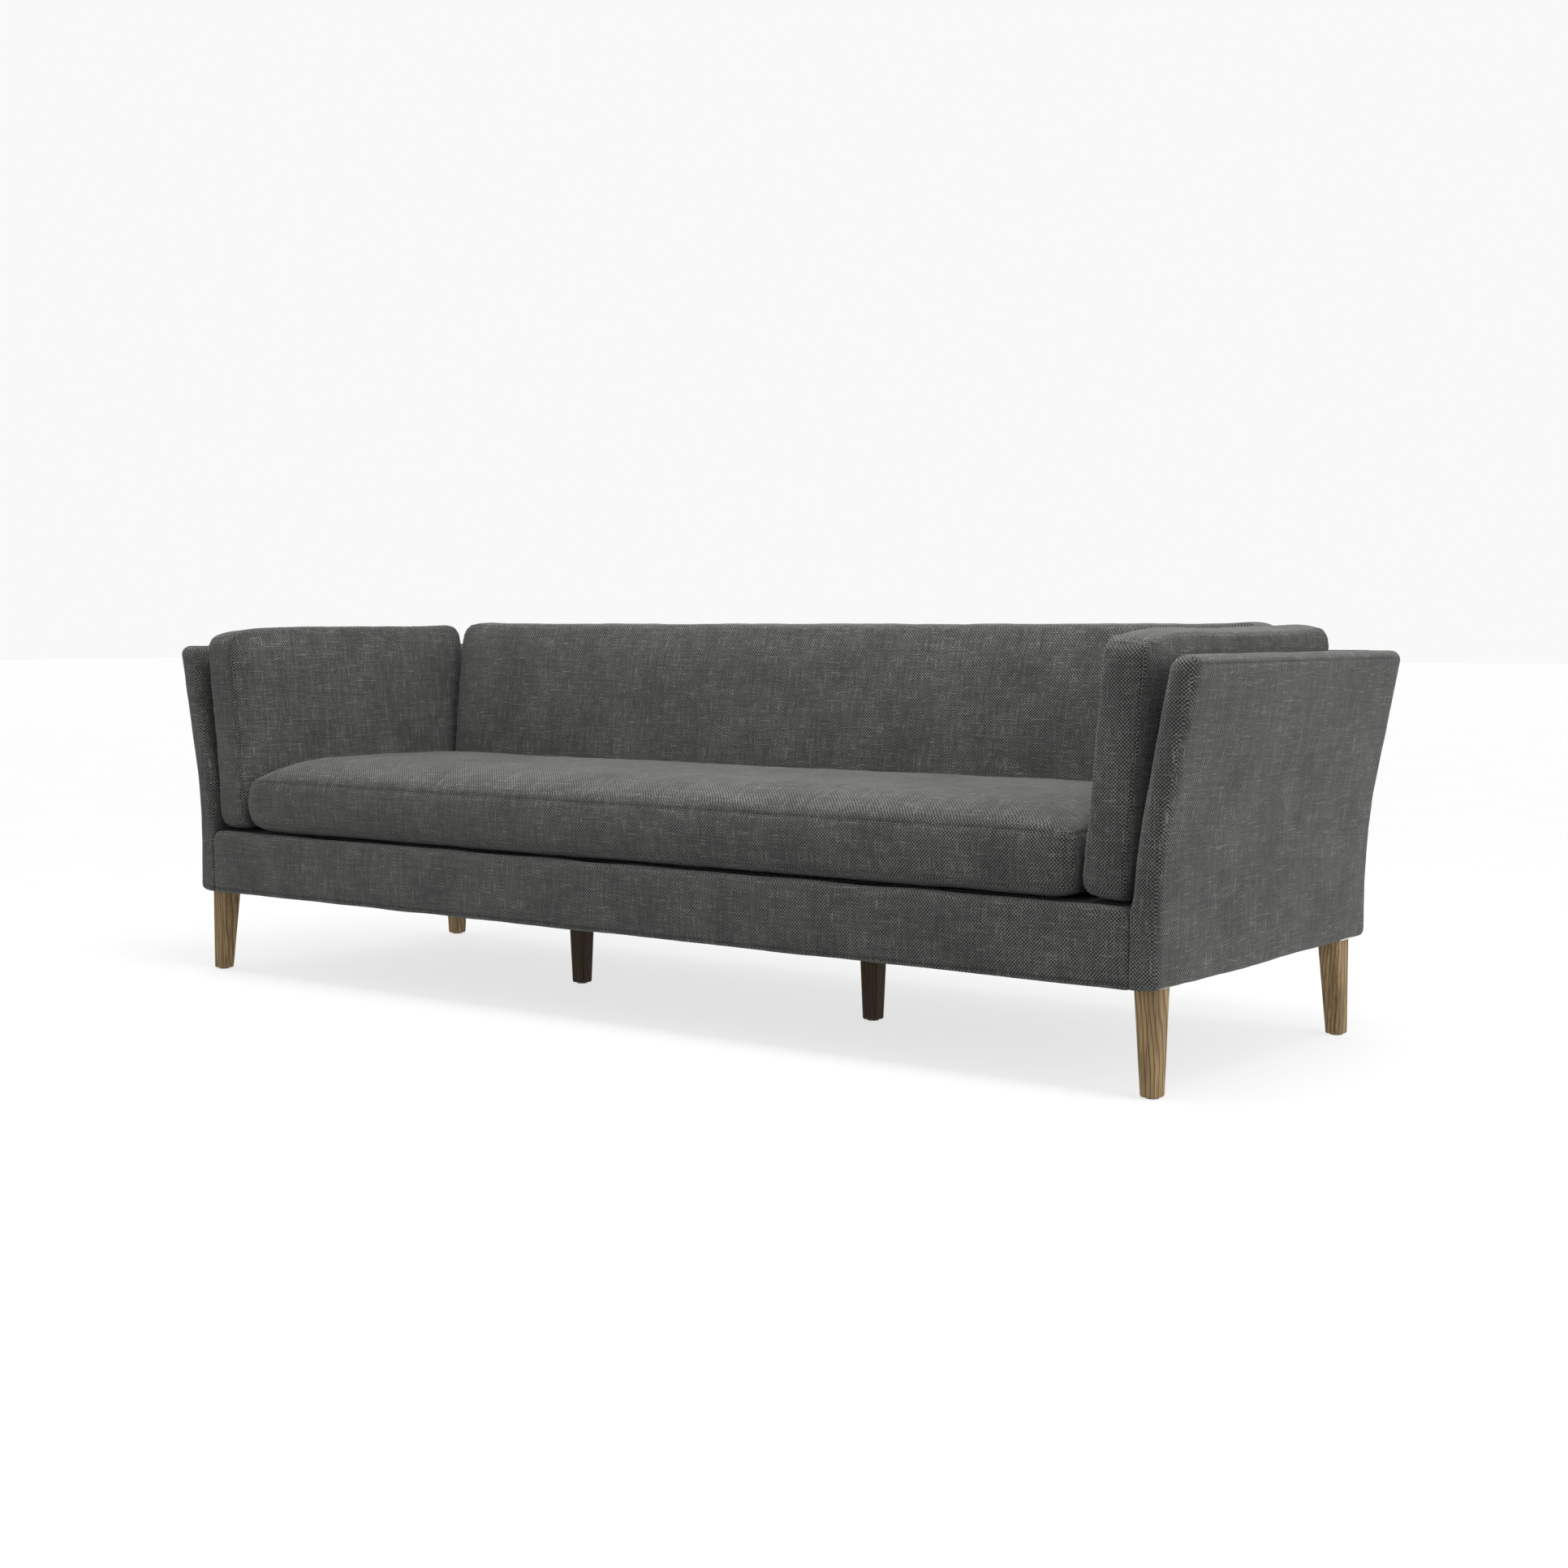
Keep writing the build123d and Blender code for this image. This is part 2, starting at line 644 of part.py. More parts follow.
def back_body_cushion(inset):
    """The back cushion: a belly in front, upright behind, wider at the top."""
    low, top = CUSHION_FLOOR + inset, BACK_TOP - inset
    foot = (BACK_FOOT_Y + inset, low)
    belly = (BACK_BELLY_Y + inset, BACK_BELLY_Z)
    head = (BACK_HEAD_Y + inset, top)
    rear_top = (BACK_REAR_Y - inset, top)
    rear_low = (BACK_REAR_Y - inset, low)
    side_view = section(
        [ThreePointArc(foot, belly, head), Line(head, rear_top), Line(rear_top, rear_low), Line(rear_low, foot)]
    )
    side_view = fillet(side_view.vertices().sort_by(Axis.Y)[-2:], BACK_EDGE_RADIUS - inset)
    half_low = BACK_HALF_WIDTH - inset
    half_top = half_low + (top - low) * math.tan(math.radians(BACK_END_LEAN))
    corners = [(-half_low, low), (half_low, low), (half_top, top), (-half_top, top)]
    front_view = make_face(Polyline(*corners, close=True))
    front_view = chamfer(front_view.vertices().sort_by(Axis.Y)[-2:], BACK_CORNER_CUT)
    wide = along_x(side_view, FAR / 2)
    deep = along_y(front_view, 0, BACK_Y)
    return (wide & deep).solid()


def zip_strip(length, slot):
    """A zip lying in X and Y: its tape with the raised chain, or the slot cut for it."""
    spare = ZIP_CLEARANCE if slot else 0
    depth = 2 * CUSHION_SKIN if slot else ZIP_THICKNESS
    tape = Box(length + 2 * spare, ZIP_WIDTH + 2 * spare, depth + 2 * spare)
    if slot:
        return tape
    chain = Pos(0, 0, ZIP_THICKNESS / 2) * Box(length - 20, ZIP_CHAIN_WIDTH, ZIP_THICKNESS * 0.8)
    slider = Pos(length / 2 - 20, 0, ZIP_THICKNESS * 0.6) * Box(12, 8, ZIP_THICKNESS * 1.2)
    return tape + chain + slider


def seat_zip(slot=False):
    z = (SEAT_LOW_SEAM + SEAT_SEAM_TOP) / 2
    strip = Rot(-90, 0, 0) * zip_strip(SEAT_ZIP_LENGTH, slot)
    return Pos(0, SEAT_BACK - CUSHION_SKIN / 2, z) * strip


def side_zip(slot=False):
    strip = Rot(-90, 0, 0) * zip_strip(SIDE_ZIP_LENGTH, slot)
    return side_place(Pos(0, (SIDE_BACK - FRONT_Y) / 2 - CUSHION_SKIN / 2, 0) * strip)


def back_zip(slot=False):
    y = (BACK_FOOT_Y + BACK_REAR_Y) / 2
    strip = Rot(180, 0, 0) * zip_strip(BACK_ZIP_LENGTH, slot)
    return Pos(0, y, CUSHION_FLOOR + CUSHION_SKIN / 2) * strip


def cushion_cover(body, zip_part):
    """The sewn shell of a cushion, open where its zip sits."""
    return body(0) - body(CUSHION_SKIN) - zip_part(slot=True)


def cushion_foam(body):
    return body(CUSHION_SKIN + GAP + ZIP_THICKNESS / 2)


# ---- Assembly -----------------------------------------------------------------


def wood_parts():
    front_bolt = FRONT_LEG_FACE_Y + BOLT_INSET
    rear_bolt = REAR_LEG_FACE_Y - BOLT_INSET
    front_post = arm_post(CORE_FRONT, CORE_FRONT + FRONT_POST_WIDTH, front_bolt)
    rear_post = arm_post(CORE_BACK - REAR_POST_WIDTH, CORE_BACK, rear_bolt)
    return {
        "arm_post_front": front_post,
        "arm_post_rear": rear_post,
        "arm_top_rail": arm_top_rail(),
        "seat_rail": side_rail(),
        "stretcher": stretcher(),
        "corner_block_front": corner_block(FRONT_RAIL_BACK, 1),
        "corner_block_rear": corner_block(REAR_RAIL_FRONT, -1),
        "back_upright": back_upright(),
    }


def paired_parts():
    """Right-hand parts that have a left-hand twin."""
    parts = wood_parts()
    parts["arm_padding"] = arm_padding()
    parts["arm_cover"] = arm_cover()
    parts["leg_front"] = corner_leg(FRONT_LEG_FACE_Y, 1)
    parts["leg_rear"] = corner_leg(REAR_LEG_FACE_Y, -1)
    parts["leg_centre"] = centre_leg()
    parts["side_cushion_foam"] = cushion_foam(side_body)
    parts["side_cushion_cover"] = cushion_cover(side_body, side_zip)
    parts["side_cushion_zip"] = side_zip()
    return parts


def single_parts():
    """Parts that sit across the middle, and groups of identical pieces."""
    pad_z = INSULATOR_Z + INSULATOR_THICKNESS
    cloth_z = pad_z + DECK_PAD_THICKNESS
    return {
        "seat_rail_front": seat_rail(CORE_FRONT, FRONT_RAIL_BACK),
        "seat_rail_rear": seat_rail(REAR_RAIL_FRONT, CORE_BACK),
        "back_top_rail": back_top_rail(),
        "back_webbing": back_webbing(),
        "seat_webbing_long": seat_webbing_long(),
        "seat_webbing_cross": seat_webbing_cross(),
        "seat_insulator": deck_layer(INSULATOR_Z, INSULATOR_THICKNESS),
        "deck_padding": deck_layer(pad_z, DECK_PAD_THICKNESS),
        "deck_cloth": deck_layer(cloth_z, DECK_CLOTH_THICKNESS),
        "dust_cover": dust_cover(),
        "back_padding": back_padding(),
        "back_cover": back_cover(),
        "front_rail_padding": front_rail_padding(),
        "front_rail_cover": front_rail_cover(),
        "leg_plates": leg_plates(),
        "plate_screws": plate_screws(),
        "hanger_bolts": hanger_bolts(),
        "foot_glides": foot_glides(),
        "frame_screws": frame_screws(),
        "seat_cushion_foam": cushion_foam(seat_body),
        "seat_cushion_cover": cushion_cover(seat_body, seat_zip),
        "seat_cushion_zip": seat_zip(),
        "back_cushion_foam": cushion_foam(back_body_cushion),
        "back_cushion_cover": cushion_cover(back_body_cushion, back_zip),
        "back_cushion_zip": back_zip(),
    }


def main():
    os.makedirs("parts", exist_ok=True)
    nodes = single_parts()
    for name, shape in paired_parts().items():
        nodes[name + "_right"] = shape
        nodes[name + "_left"] = to_left(shape)
    for name, shape in nodes.items():
        export_step(shape, os.path.join("parts", name + ".step"))


main()
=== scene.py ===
import json
import math

import bpy
import numpy as np
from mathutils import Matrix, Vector, noise
from mathutils.bvhtree import BVHTree
from mathutils.kdtree import KDTree


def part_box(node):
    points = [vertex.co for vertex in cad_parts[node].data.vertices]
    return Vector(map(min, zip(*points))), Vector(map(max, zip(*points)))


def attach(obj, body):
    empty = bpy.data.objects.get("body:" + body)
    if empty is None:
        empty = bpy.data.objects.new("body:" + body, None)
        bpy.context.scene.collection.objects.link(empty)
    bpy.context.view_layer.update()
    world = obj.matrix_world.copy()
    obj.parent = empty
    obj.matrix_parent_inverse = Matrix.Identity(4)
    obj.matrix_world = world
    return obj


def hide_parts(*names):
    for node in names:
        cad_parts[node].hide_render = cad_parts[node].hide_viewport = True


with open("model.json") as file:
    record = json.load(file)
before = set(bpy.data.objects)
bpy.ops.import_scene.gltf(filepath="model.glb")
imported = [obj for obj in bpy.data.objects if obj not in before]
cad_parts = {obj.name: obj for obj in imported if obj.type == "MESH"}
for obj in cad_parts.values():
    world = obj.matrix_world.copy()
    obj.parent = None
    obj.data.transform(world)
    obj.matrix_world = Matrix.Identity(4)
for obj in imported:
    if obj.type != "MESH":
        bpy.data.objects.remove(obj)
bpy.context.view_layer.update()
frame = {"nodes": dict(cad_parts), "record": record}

# ---- Measures (metres) -----------------------------------------------------------

BASE_HALF_WIDTH = 1.172
FRAME_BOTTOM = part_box("arm_cover_right")[0].z
FRAME_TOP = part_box("arm_cover_right")[1].z
FRONT_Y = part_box("arm_cover_right")[0].y
BACK_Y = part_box("arm_cover_right")[1].y
PANEL = 0.050
FLARE_START = 0.270
FLARE_RADIUS = 1.035
FLARE_ANGLE = math.radians(11.1)
LEAN = math.radians(5.3)
CUSHION_SEAM = (0.0022, 0.0026)
FRAME_SEAM = (0.0016, 0.0022)
HEM_SEAM = (0.0018, 0.0022)
THICKNESS_STEP = 0.006
SEAM_SPREAD = (0.002, 0.005)
SWELL_LIMIT = 0.003
ZIP_HALF_WIDTH = 0.006
SIDE_ZIP_REACH = 0.155
SIDE_CUSHION_HEIGHT = 0.446
BACK_HALF_WIDTH = 1.012
BACK_END_LEAN = math.tan(math.radians(2.9))
PUFF = 0.003
TINY = 1e-9
EDGE = 1e-6


# ---- Mesh helpers ------------------------------------------------------------------


def detail(full, quick):
    return full


def stops(low, high, step, fine=(), spread=(0.003, 0.008)):
    """Grid positions from low to high, closer together at the `fine` places."""
    count = max(2, round((high - low) / step))
    places = list(np.linspace(low, high, count + 1))
    for place in fine:
        places = [p for p in places if abs(p - place) > spread[-1] + step * 0.3 or p in (low, high)]
        for away in (0.0, *spread, *[-s for s in spread]):
            if low < place + away < high:
                places.append(place + away)
    return sorted(set(round(p, 6) for p in places))


def box_shell(xs, ys, zs):
    """The six faces of a box as one closed grid: its points and its quads."""
    index, points, quads = {}, [], []
    last = (len(xs) - 1, len(ys) - 1, len(zs) - 1)

    def corner(i, j, k):
        key = (i, j, k)
        if key not in index:
            index[key] = len(points)
            points.append((xs[i], ys[j], zs[k]))
        return index[key]

    def face(axis, end, flip):
        first, second = [a for a in range(3) if a != axis]
        for a in range(last[first]):
            for b in range(last[second]):
                quad = []
                for da, db in ((0, 0), (1, 0), (1, 1), (0, 1)):
                    place = [0, 0, 0]
                    place[axis] = end
                    place[first] = a + da
                    place[second] = b + db
                    quad.append(corner(*place))
                quads.append(quad[::-1] if flip else quad)

    face(0, 0, True)
    face(0, last[0], False)
    face(1, 0, False)
    face(1, last[1], True)
    face(2, 0, True)
    face(2, last[2], False)
    return np.array(points), quads, index


def pulled_in(points, inner):
    """Points beyond an inner box, brought onto arcs round its edges."""
    away = points - inner
    largest = np.abs(away).max(axis=1, keepdims=True)
    length = np.linalg.norm(away, axis=1, keepdims=True)
    return inner + away * np.where(length > TINY, largest / np.maximum(length, TINY), 0)


def rounded(points, low, high, radius):
    """Round a box's edges and corners; `radius` is one number or one per point."""
    radius = np.broadcast_to(np.asarray(radius, float).reshape(-1, 1), (len(points), 1))
    return pulled_in(points, np.clip(points, np.array(low) + radius, np.array(high) - radius))


def add_mesh(name, points, quads):
    mesh = bpy.data.meshes.new(name)
    mesh.from_pydata([tuple(p) for p in points], [], quads)
    mesh.validate()
    mesh.update()
    mesh.polygons.foreach_set("use_smooth", [True] * len(mesh.polygons))
    piece = bpy.data.objects.new(name, mesh)
    bpy.context.scene.collection.objects.link(piece)
    return piece


def vertex_values(piece, name):
    flat = np.zeros(len(piece.data.vertices) * 3, np.float32)
    piece.data.vertices.foreach_get(name, flat)
    return flat.reshape(-1, 3).astype(float)


def coords(piece):
    return vertex_values(piece, "co")


def normals(piece):
    return vertex_values(piece, "normal")


def unit(vector):
    return vector / max(np.linalg.norm(vector), TINY)


def turned(quads):
    """The same faces, facing the other way."""
    return [quad[::-1] for quad in quads]


def set_coords(piece, points):
    piece.data.vertices.foreach_set("co", np.asarray(points, np.float32).ravel())
    piece.data.update()


def apply_modifiers(piece):
    """Replace the piece's mesh with its evaluated one and drop its modifiers."""
    graph = bpy.context.evaluated_depsgraph_get()
    made = bpy.data.meshes.new_from_object(piece.evaluated_get(graph))
    old = piece.data
    piece.modifiers.clear()
    piece.data = made
    bpy.data.meshes.remove(old)
    piece.data.polygons.foreach_set("use_smooth", [True] * len(piece.data.polygons))


def subdivide(piece, levels):
    modifier = piece.modifiers.new("Smooth", "SUBSURF")
    modifier.levels = levels
    modifier.render_levels = levels
    apply_modifiers(piece)


def undulate(piece, amount, size, seed, keep=None):
    """Move the surface in and out a little, as stuffed cloth over padding does."""
    points, outward = coords(piece), normals(piece)
    shift = Vector((seed * 7.3, seed * 3.1, seed * 5.7))
    waves = np.array([noise.noise(Vector(p) / size + shift) for p in points])
    if keep is not None:
        waves *= keep(points)
    set_coords(piece, points + outward * (waves * amount)[:, None])


def resampled(path, step, closed):
    """Points a step apart along a polyline."""
    path = np.asarray(path)
    if closed:
        path = np.vstack([path, path[:1]])
    lengths = np.linalg.norm(np.diff(path, axis=0), axis=1)
    along = np.concatenate([[0], np.cumsum(lengths)])
    wanted = np.arange(0, along[-1], step)
    return np.stack([np.interp(wanted, along, path[:, axis]) for axis in range(3)], axis=1)


def closeness(points, line, width):
    """1 on a line's points, falling to 0 over about a width."""
    tree = KDTree(len(line))
    for number, point in enumerate(line):
        tree.insert(Vector(point), number)
    tree.balance()
    away = np.array([tree.find(Vector(p))[2] for p in points])
    return np.exp(-((away / width) ** 2))


def sew(piece, paths, seam):
    """Press seams into the surface and mark them, so painted shade darkens the cloth in them."""
    depth, width = seam
    points, outward = coords(piece), normals(piece)
    line = np.vstack([resampled(path, 0.002, closed) for path, closed in paths])
    near = closeness(points, line, width)
    set_coords(piece, points - outward * (near * depth)[:, None])
    # This mark also masks the painted shade along the seams in the fabric material.
    mark = piece.data.attributes.new("seam", "FLOAT", "POINT")
    mark.data.foreach_set("value", near.astype(np.float32))


def surface_of(piece):
    """A search tree that finds the nearest place on the piece."""
    mesh = piece.data
    return BVHTree.FromPolygons([v.co for v in mesh.vertices], [p.vertices for p in mesh.polygons])


def rods(places, length, radius):
    """Short rounded rods; each place is a middle, a direction and the way up."""
    points, quads = [], []
    sides = 6
    ring = [(math.cos(a), math.sin(a)) for a in np.linspace(0, 2 * math.pi, sides, endpoint=False)]
    profile = ((-0.5, 0.35), (-0.3, 1.0), (0.3, 1.0), (0.5, 0.35))
    last = sides * (len(profile) - 1)
    for middle, ahead, up in places:
        across = np.cross(ahead, up)
        base = len(points)
        for place, swell in profile:
            for c, s in ring:
                points.append(middle + ahead * place * length + (across * c + up * s) * radius * swell)
        for level in range(len(profile) - 1):
            for k in range(sides):
                a = base + level * sides + k
                b = base + level * sides + (k + 1) % sides
                quads.append((a, a + sides, b + sides, b))
        quads.append(tuple(base + k for k in range(sides)))
        quads.append(tuple(base + last + k for k in reversed(range(sides))))
    return points, quads


def stitches(name, piece, paths):
    """Short threads along seams, lying on the piece's surface."""
    step, length, radius, lift = 0.0062, 0.0036, 0.00055, 0.0006
    tree = surface_of(piece)
    places = []
    for path, closed in paths:
        line = resampled(path, step, closed)
        for here, after in zip(line[:-1], line[1:]):
            place, up = (np.array(v) for v in tree.find_nearest(Vector(here))[:2])
            ahead = after - here
            places.append((place + up * lift, unit(ahead - up * np.dot(ahead, up)), up))
    return add_mesh(name, *rods(places, length, radius))


def zipper(piece, start, end, across, body, node):
    """A zip laid on the cushion from start to end: tape, two rows of teeth and a slider."""
    start, end, across = np.array(start), np.array(end), np.array(across)
    tree = surface_of(piece)
    length = np.linalg.norm(end - start)
    ahead = (end - start) / length
    widths = stops(-ZIP_HALF_WIDTH, ZIP_HALF_WIDTH, ZIP_HALF_WIDTH / 2)
    grid, quads, _ = box_shell(stops(0, length, 0.012), widths, [-0.0008, 0.0006])
    tooth_pitch, tooth_offset, tooth_lift = 0.0024, 0.0007, 0.0012
    slider_inset, slider_lift = 0.022, 0.0014

    def laid(along, aside, lift):
        spot = Vector(start + ahead * along + across * aside)
        place, up = (np.array(v) for v in tree.find_nearest(spot)[:2])
        return place + up * lift, up

    points = [laid(*spot)[0] for spot in grid]
    if np.dot(np.cross(ahead, across), laid(length / 2, 0, 0)[1]) < 0:
        quads = turned(quads)
    teeth = []
    for number, along in enumerate(np.arange(0.010, length - 0.010, tooth_pitch)):
        middle, up = laid(along, tooth_offset if number % 2 else -tooth_offset, tooth_lift)
        teeth.append((middle, unit(across - up * np.dot(across, up)), up))
    middle, up = laid(length - slider_inset, 0, slider_lift)
    slider = [(middle, unit(ahead - up * np.dot(ahead, up)), up)]
    for made in (rods(teeth, 0.0044, 0.0009), rods(slider, 0.012, 0.0020)):
        quads += [tuple(len(points) + v for v in quad) for quad in made[1]]
        points += made[0]
    settle(add_mesh(f"{piece.name}_zip", points, quads), body, "zip", (node,))


# ---- Materials ------------------------------------------------------------------------


class Nodes:
    """A short way to write node trees."""

    def __init__(self, name):
        self.material = bpy.data.materials.new(name)
        self.material.use_nodes = True
        self.tree = self.material.node_tree
        self.tree.nodes.clear()
        self.output = self.tree.nodes.new("ShaderNodeOutputMaterial")
        self.shader = self.tree.nodes.new("ShaderNodeBsdfPrincipled")
        self.tree.links.new(self.shader.outputs[0], self.output.inputs[0])

    def put(self, socket, value):
        if hasattr(value, "is_output"):
            self.tree.links.new(value, socket)
        elif value is not None:
            socket.default_value = value

    def fed(self, kind, values, **settings):
        """A new node with its settings and its first inputs."""
        node = self.tree.nodes.new(kind)
        for name, setting in settings.items():
            setattr(node, name, setting)
        for socket, value in zip(node.inputs, values):
            self.put(socket, value)
        return node

    def math(self, operation, *values):
        return self.fed("ShaderNodeMath", values, operation=operation).outputs[0]

    def plus(self, *values):
        total = values[0]
        for value in values[1:]:
            total = self.math("ADD", total, value)
        return total

    def times(self, first, second):
        return self.math("MULTIPLY", first, second)

    def minus(self, first, second):
        return self.math("SUBTRACT", first, second)

    def combine(self, x, y, z):
        return self.fed("ShaderNodeCombineXYZ", (x, y, z)).outputs[0]

    def separate(self, vector):
        return self.fed("ShaderNodeSeparateXYZ", (vector,)).outputs

    def mapped(self, vector, scale, offset=(0, 0, 0)):
        node = self.fed("ShaderNodeMapping", (vector,))
        node.inputs["Scale"].default_value = scale
        node.inputs["Location"].default_value = offset
        return node.outputs[0]

    def noise(self, vector, scale, detail=2.0, roughness=0.5):
        node = self.fed("ShaderNodeTexNoise", (vector,))
        node.inputs["Scale"].default_value = scale
        node.inputs["Detail"].default_value = detail
        node.inputs["Roughness"].default_value = roughness
        return node.outputs[0]

    def between(self, value, low, high, to_low=0.0, to_high=1.0):
        """A smooth step from one value to another."""
        values = (value, low, high, to_low, to_high)
        return self.fed("ShaderNodeMapRange", values, interpolation_type="SMOOTHSTEP").outputs[0]

    def mix(self, factor, first, second, blend="MIX"):
        node = self.tree.nodes.new("ShaderNodeMix")
        node.data_type = "RGBA"
        node.blend_type = blend
        self.put(node.inputs[0], factor)
        self.put(node.inputs[6], first)
        self.put(node.inputs[7], second)
        return node.outputs[2]

    def toned(self, colour, tone):
        """A colour made lighter or darker by a grey factor."""
        return self.mix(1.0, colour, self.combine(tone, tone, tone), "MULTIPLY")

    def bump(self, height, strength, distance):
        node = self.tree.nodes.new("ShaderNodeBump")
        node.inputs["Strength"].default_value = strength
        node.inputs["Distance"].default_value = distance
        self.put(node.inputs["Height"], height)
        return node.outputs[0]

    def place(self):
        return self.tree.nodes.new("ShaderNodeTexCoord").outputs["Object"]

    def attribute(self, name):
        node = self.tree.nodes.new("ShaderNodeAttribute")
        node.attribute_name = name
        return node.outputs["Fac"]

    def normal(self):
        return self.tree.nodes.new("ShaderNodeNewGeometry").outputs["Normal"]

    def finish(self, colour, roughness, bump=None, **sockets):
        self.put(self.shader.inputs["Base Color"], colour)
        self.put(self.shader.inputs["Roughness"], roughness)
        if bump is not None:
            self.put(self.shader.inputs["Normal"], bump)
        for name, value in sockets.items():
            self.shader.inputs[name.replace("_", " ")].default_value = value
        return self.material


def opaque(colour, factor=1.0):
    return (*(channel * factor for channel in colour), 1)


def flat_place(nodes):
    """Two directions along the cloth, picked by which way the surface faces."""
    x, y, z = nodes.separate(nodes.place())
    facing = nodes.fed("ShaderNodeVectorMath", (nodes.normal(),), operation="ABSOLUTE").outputs[0]
    facing_x, facing_y, facing_z = nodes.separate(facing)
    side_on = nodes.math("GREATER_THAN", facing_x, nodes.math("MAXIMUM", facing_y, facing_z))
    upward = nodes.math("GREATER_THAN", facing_z, nodes.math("MAXIMUM", facing_x, facing_y))
    along = nodes.plus(x, nodes.times(side_on, nodes.minus(y, x)))
    above = nodes.plus(z, nodes.times(upward, nodes.minus(y, z)))
    layer = nodes.plus(nodes.times(side_on, 3.7), nodes.times(upward, 8.3))
    return along, above, layer


def fabric(name, light, dark, pitch=0.0032):
    """A two-tone basket weave with slubs, streaks and a soft nap."""
    nodes = Nodes(name)
    along, above, layer = flat_place(nodes)
    flat = nodes.combine(along, above, layer)
    waves = []
    for direction, offset in ((along, (0, 0, 0)), (above, (5, 9, 2))):
        wander = nodes.minus(nodes.noise(nodes.mapped(flat, (1, 1, 1), offset), 55), 0.5)
        place = nodes.plus(direction, nodes.times(wander, pitch * 0.9))
        waves.append(nodes.math("SINE", nodes.times(place, math.pi / pitch)))
    over = nodes.between(nodes.times(*waves), -0.2, 0.5)
    fibre = nodes.noise(nodes.mapped(flat, (1, 1, 1)), 900, 2.0, 0.7)
    slubs = []
    for scale, offset in (((430, 30, 1), (0, 0, 0)), ((30, 430, 1), (3, 7, 1))):
        thick = nodes.noise(nodes.mapped(flat, scale, offset), 1, 1.0, 0.4)
        slubs.append(nodes.between(thick, 0.60, 0.73))
    slub = nodes.math("MAXIMUM", *slubs)
    shade = nodes.plus(
        nodes.noise(nodes.mapped(flat, (150, 13, 1)), 1, 3.0, 0.6),
        nodes.noise(nodes.mapped(flat, (13, 170, 1), (2, 4, 6)), 1, 3.0, 0.6),
        nodes.noise(nodes.mapped(flat, (9, 7, 1)), 1, 3.0, 0.55),
    )
    share = nodes.plus(over, nodes.times(nodes.minus(fibre, 0.5), 0.55))
    share = nodes.math("MINIMUM", nodes.math("MAXIMUM", share, 0.0), 1.0)
    colour = nodes.mix(share, opaque(dark), opaque(light))
    colour = nodes.mix(nodes.times(slub, 0.48), colour, opaque(light, 1.45))
    colour = nodes.toned(colour, nodes.between(shade, 1.15, 1.85, 0.70, 1.30))
    # Painted shade: the cloth is darkened along the seam mark, where the pressed-in seam groove lies in
    # shadow.
    colour = nodes.mix(nodes.times(nodes.attribute("seam"), 0.6), colour, opaque(dark, 0.25))
    height = nodes.plus(nodes.times(over, 0.7), nodes.times(fibre, 0.4), nodes.times(slub, 0.5))
    return nodes.finish(
        colour,
        nodes.between(fibre, 0.2, 0.8, 0.82, 0.97),
        nodes.bump(height, 0.9, 0.0013),
        Sheen_Weight=0.12,
        Sheen_Roughness=0.5,
        Specular_IOR_Level=0.22,
    )


def wood(name, light, middle, dark, grain=1.0):
    """Oak with long dark grain lines that run up and down the leg."""
    nodes = Nodes(name)
    place = nodes.place()
    x, y, _ = nodes.separate(place)
    bend = nodes.noise(nodes.mapped(place, (9, 9, 3)), 1, 2.0)
    warped = nodes.plus(x, nodes.times(y, 0.62), nodes.times(bend, 0.055))
    late = nodes.between(nodes.math("FRACT", nodes.times(warped, 125 * grain)), 0.45, 0.98)
    pores = nodes.between(nodes.noise(nodes.mapped(place, (620, 620, 16)), 1, 2.0, 0.6), 0.53, 0.66)
    streak = nodes.noise(nodes.mapped(place, (190, 190, 7)), 1, 3.0, 0.6)
    cloud = nodes.noise(nodes.mapped(place, (24, 24, 9)), 1, 2.0)
    colour = nodes.mix(nodes.between(streak, 0.3, 0.72), opaque(middle), opaque(light))
    colour = nodes.mix(nodes.times(late, 0.72), colour, opaque(dark))
    colour = nodes.mix(nodes.times(pores, 0.55), colour, opaque(dark, 0.55))
    colour = nodes.toned(colour, nodes.between(cloud, 0.3, 0.7, 0.84, 1.12))
    height = nodes.minus(nodes.times(streak, 0.4), nodes.times(pores, 0.8))
    rough = nodes.between(streak, 0.3, 0.7, 0.48, 0.66)
    return nodes.finish(colour, rough, nodes.bump(height, 0.35, 0.0006), Specular_IOR_Level=0.2)


def speckled(name, colour, spread, scale, roughness, metallic=0.0, depth=0.0003):
    """A finish with fine mottling, for foam, felt, cloth, plastic and steel."""
    nodes = Nodes(name)
    place = nodes.place()
    fine = nodes.noise(place, scale, 3.0, 0.65)
    broad = nodes.noise(place, scale * 0.06, 2.0)
    shade = nodes.plus(nodes.times(fine, 0.7), nodes.times(broad, 0.3))
    made = nodes.toned(opaque(colour), nodes.between(shade, 0.3, 0.7, 1 - spread, 1 + spread))
    rough = nodes.between(fine, 0.3, 0.7, roughness - 0.07, roughness + 0.07)
    return nodes.finish(made, rough, nodes.bump(fine, 0.5, depth), Metallic=metallic)


